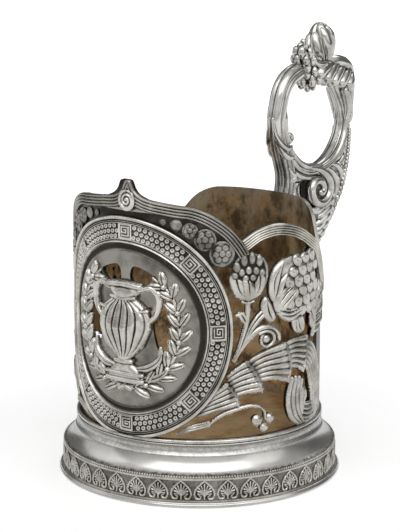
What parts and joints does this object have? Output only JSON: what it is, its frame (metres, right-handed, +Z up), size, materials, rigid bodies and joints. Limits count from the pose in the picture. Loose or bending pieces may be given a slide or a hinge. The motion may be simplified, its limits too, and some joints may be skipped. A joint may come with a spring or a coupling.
{
  "type": "podstakannik tea glass holder",
  "caption": "Silvered metal tea glass holder: round foot, openwork wall with front medallion, flowers and leaves, plain back lobe and a cast ring handle with thumb rest.",
  "frame": {"origin": "centre of the foot's underside, on the table", "axes": "+Z up along the glass, -Y towards the medallion (front), +Y towards the handle, +X to the right"},
  "size_m": [0.08, 0.1202, 0.1203],
  "materials": {
    "oxidised_silver": "silver plate, cast and chased, dark oxide in the hollows",
    "polished_silver": "silver plate, turned and polished",
    "wall_sheet": "worn gilt with brown tarnish inside, oxidised silver outside"
  },
  "bodies": {
    "root": {"back_panel": "wall_sheet", "base_wire": "polished_silver", "bead_spine": "oxidised_silver", "bead_wire": "oxidised_silver", "bud_finial": "oxidised_silver", "cone_flower_left": "oxidised_silver", "cone_flower_right": "oxidised_silver", "cone_stem_left": "oxidised_silver", "cone_stem_right": "oxidised_silver", "curl_leaf_left": "oxidised_silver", "curl_leaf_right": "oxidised_silver", "emblem_sprays": "oxidised_silver", "emblem_vase": "oxidised_silver", "fan_leaf_left": "oxidised_silver", "fan_leaf_right": "oxidised_silver", "finial_boss": "oxidised_silver", "floor_disc": "polished_silver", "foot_collar": "polished_silver", "foot_dome": "polished_silver", "grape_cluster": "oxidised_silver", "handle_inner_limb": "oxidised_silver", "handle_outer_limb": "oxidised_silver", "handle_volute": "oxidised_silver", "handle_web": "oxidised_silver", "key_plaques": "oxidised_silver", "lower_handle_pad": "oxidised_silver", "lower_wall_wire": "polished_silver", "medallion_bezel": "oxidised_silver", "medallion_field": "oxidised_silver", "medallion_frieze": "oxidised_silver", "medallion_inner_bezel": "oxidised_silver", "openwork_wall": "wall_sheet", "palmette_gallery": "oxidised_silver", "rim_arch_left": "oxidised_silver", "rim_arch_right": "oxidised_silver", "rim_finial": "oxidised_silver", "rim_moulding_left": "oxidised_silver", "rim_moulding_right": "oxidised_silver", "scroll_leaf_left": "oxidised_silver", "scroll_leaf_right": "oxidised_silver", "side_leaf_left": "oxidised_silver", "side_leaf_right": "oxidised_silver", "spandrel_roundels_left": "oxidised_silver", "spandrel_roundels_right": "oxidised_silver", "sprig_berries_left": "oxidised_silver", "sprig_berries_right": "oxidised_silver", "sprig_stem_left": "oxidised_silver", "sprig_stem_right": "oxidised_silver", "thumb_leaf": "oxidised_silver", "thumb_shell": "oxidised_silver", "tulip_crown_left": "oxidised_silver", "tulip_crown_right": "oxidised_silver", "tulip_cup_left": "oxidised_silver", "tulip_cup_right": "oxidised_silver", "tulip_stem_left": "oxidised_silver", "tulip_stem_right": "oxidised_silver", "upper_handle_pad": "oxidised_silver"}
  },
  "joints": []
}
